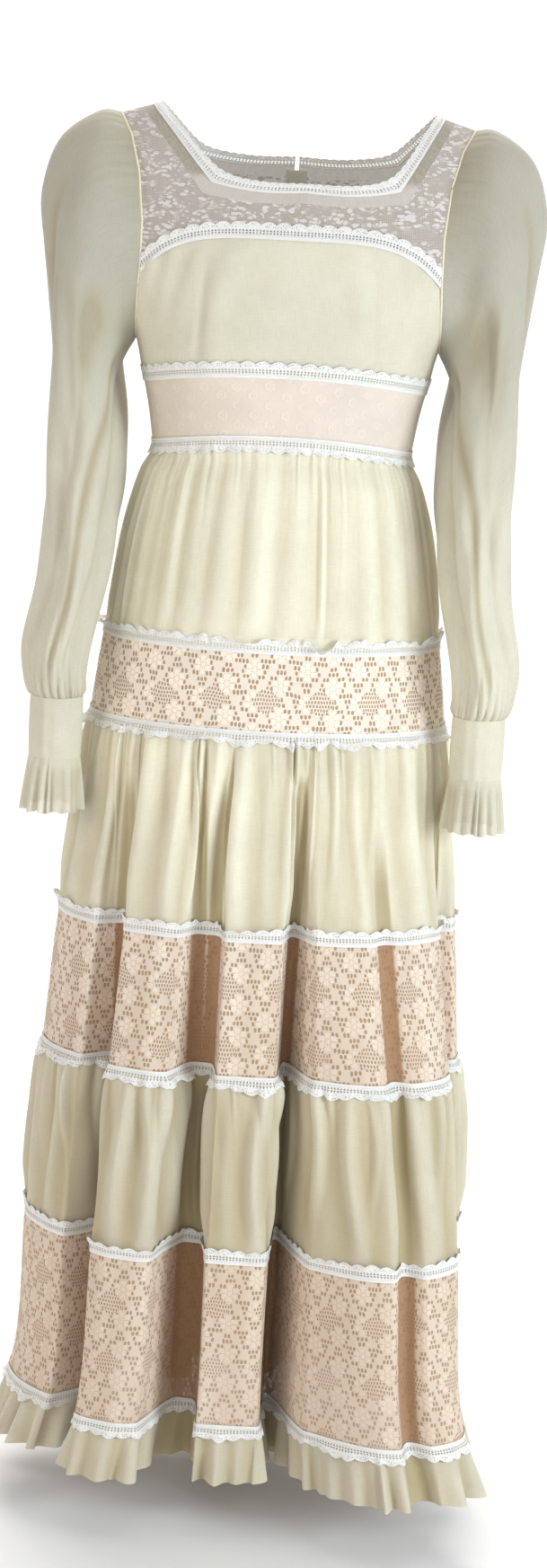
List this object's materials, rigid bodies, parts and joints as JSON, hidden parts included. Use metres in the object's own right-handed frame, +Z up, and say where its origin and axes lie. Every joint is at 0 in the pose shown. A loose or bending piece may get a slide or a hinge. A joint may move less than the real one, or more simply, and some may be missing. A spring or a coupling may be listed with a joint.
{
  "type": "tiered lace maxi dress",
  "caption": "Ankle-length cream voile dress with a square lace yoke, puffed sleeves gathered into cuffs, a lace waist and gathered skirt tiers between lace bands.",
  "frame": {"origin": "middle of the shoulder line, level with the tops of the shoulder straps, where the dress hangs from the wearer's shoulders", "axes": "+Z up, the front of the dress faces -Y, +X towards the wearer's left side"},
  "size_m": [0.5339, 0.4313, 1.408],
  "materials": {
    "cream_voile": "sheer cotton voile, matte",
    "peach_lace": "cotton insertion lace, matte",
    "yoke_lace": "fine cotton lace, matte",
    "white_edging": "scalloped cotton lace edging, matte",
    "sheer_insert": "sheer insert",
    "zip_cloth": "woven tape with its chain",
    "zip_metal": "satin",
    "button_shell": "pearly"
  },
  "bodies": {
    "dress": {"bodice_back_left": "cream_voile", "bodice_back_right": "cream_voile", "bust_front": "cream_voile", "cuff_button_left_1": "button_shell", "cuff_button_left_2": "button_shell", "cuff_button_right_1": "button_shell", "cuff_button_right_2": "button_shell", "cuff_left": "cream_voile", "cuff_right": "cream_voile", "hem_ruffle": "cream_voile", "lace_1_back": "peach_lace", "lace_1_front": "peach_lace", "lace_2_back": "peach_lace", "lace_2_front": "peach_lace", "lace_3_back": "peach_lace", "lace_3_front": "peach_lace", "neck_band_back_left": "sheer_insert", "neck_band_back_right": "sheer_insert", "neck_band_front": "sheer_insert", "neck_trim_back_left": "white_edging", "neck_trim_back_right": "white_edging", "neck_trim_front": "white_edging", "sleeve_left": "cream_voile", "sleeve_right": "cream_voile", "tier_1": "cream_voile", "tier_2": "cream_voile", "tier_3": "cream_voile", "trim_1_bottom": "white_edging", "trim_1_top": "white_edging", "trim_2_bottom": "white_edging", "trim_2_top": "white_edging", "trim_3_bottom": "white_edging", "trim_3_top": "white_edging", "waist_lace": "peach_lace", "waist_trim_bottom": "white_edging", "waist_trim_top": "white_edging", "wrist_ruffle_left": "cream_voile", "wrist_ruffle_right": "cream_voile", "yoke_back_left": "yoke_lace", "yoke_back_right": "yoke_lace", "yoke_front": "yoke_lace", "yoke_trim_back_left": "white_edging", "yoke_trim_back_right": "white_edging", "yoke_trim_front": "white_edging", "zip_slider": "zip_metal", "zip_tape": "zip_cloth"},
    "zip_pull": {"zip_pull": "zip_metal"}
  },
  "joints": [
    {"name": "zip_pull_hinge", "type": "hinge", "parent": "dress", "child": "zip_pull", "pos_m": [0, 0.08929, -0.07541], "axis": [1, 0, 0], "range_deg": [0, 150]}
  ]
}
